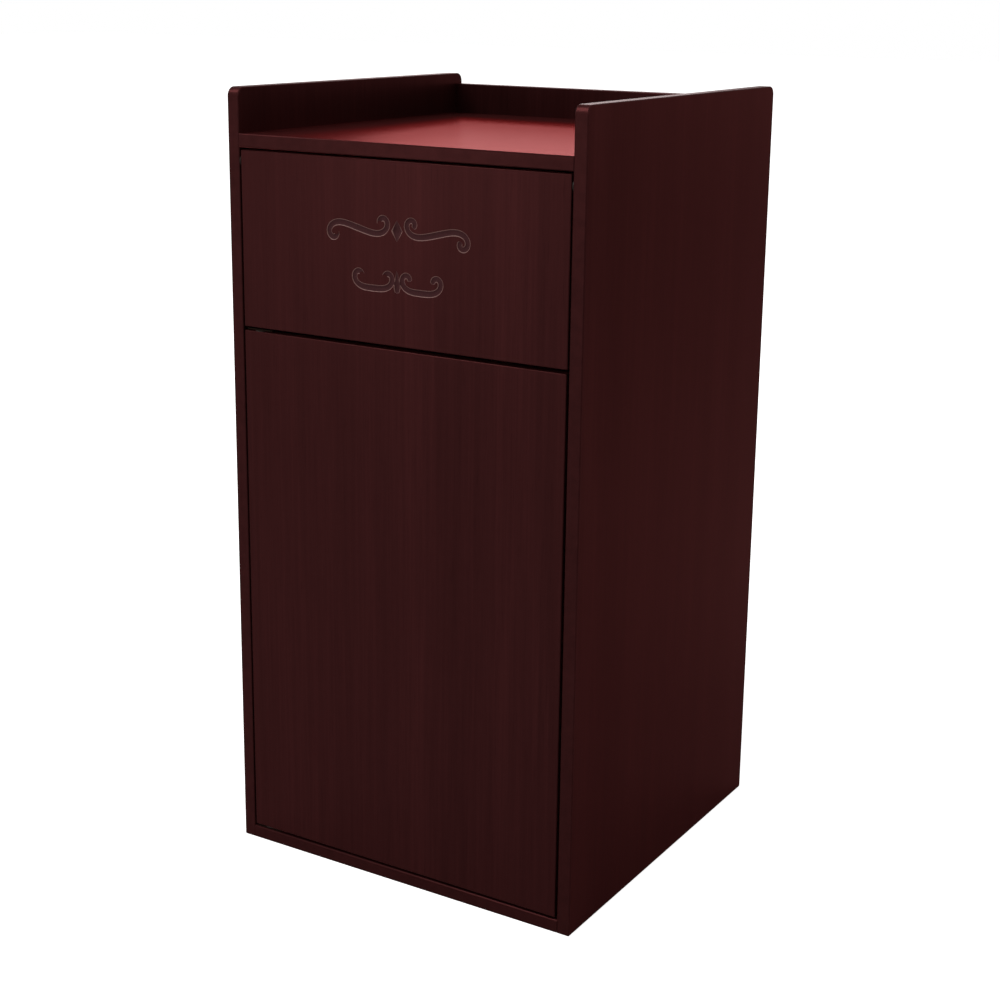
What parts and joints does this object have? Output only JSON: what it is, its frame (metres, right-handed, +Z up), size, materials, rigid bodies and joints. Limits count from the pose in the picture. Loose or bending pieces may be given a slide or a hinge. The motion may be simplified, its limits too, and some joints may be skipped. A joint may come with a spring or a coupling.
{
  "type": "tray top waste receptacle cabinet",
  "caption": "Free-standing cabinet that hides a waste bin: recessed tray shelf on top, push flap below it, and a hinged access door with concealed pivots and a touch latch.",
  "frame": {"origin": "centre of the cabinet's footprint, on the floor", "axes": "+X to the right of a person facing the flap, -Y towards that person, +Z up"},
  "size_m": [0.565, 0.565, 1.118],
  "materials": {
    "mahogany_laminate": "satin mahogany melamine with a fine upright grain",
    "zinc": "zinc plated",
    "bronzed_steel": "bronze plated",
    "steel": "bright turned steel",
    "beech": "bare fluted beech",
    "nylon": "natural moulded nylon",
    "brown_plastic": "moulded brown plastic",
    "magnet": "ground ferrite",
    "bin_plastic": "grey moulded polyethylene with a fine texture"
  },
  "bodies": {
    "cabinet": {"left_side_panel": "mahogany_laminate", "right_side_panel": "mahogany_laminate", "back_panel": "mahogany_laminate", "top_shelf": "mahogany_laminate", "bottom_panel": "mahogany_laminate", "cross_rail": "mahogany_laminate", "cam_locks": "zinc", "cam_bolts": "steel", "wood_dowels": "beech", "flap_bushings": "brown_plastic", "door_pivot_plates": "bronzed_steel", "door_pivot_pins": "steel", "pivot_plate_screws": "steel", "latch_housing": "brown_plastic", "latch_screws": "steel", "latch_spring": "steel", "waste_bin": "bin_plastic"},
    "flap": {"flap_panel": "mahogany_laminate", "flap_pivot_pins": "steel"},
    "door": {"door_panel": "mahogany_laminate", "door_bushings": "brown_plastic", "strike_plate": "zinc", "strike_screws": "steel"},
    "plunger": {"latch_plunger": "nylon", "latch_magnet": "magnet"}
  },
  "joints": [
    {"name": "flap_swing", "type": "hinge", "parent": "cabinet", "child": "flap", "pos_m": [0, -0.273, 1.01829], "axis": [1, 0, 0], "range_deg": [-85, 90]},
    {"name": "door_swing", "type": "hinge", "parent": "cabinet", "child": "door", "pos_m": [-0.23709, -0.273, 0.4], "axis": [0, 0, -1], "range_deg": [0, 135]},
    {"name": "plunger_push", "type": "slide", "parent": "cabinet", "child": "plunger", "axis": [0, 1, 0], "range_m": [0, 0.003], "stiffness_N_per_m": 600, "deforming": ["latch_spring"]}
  ]
}
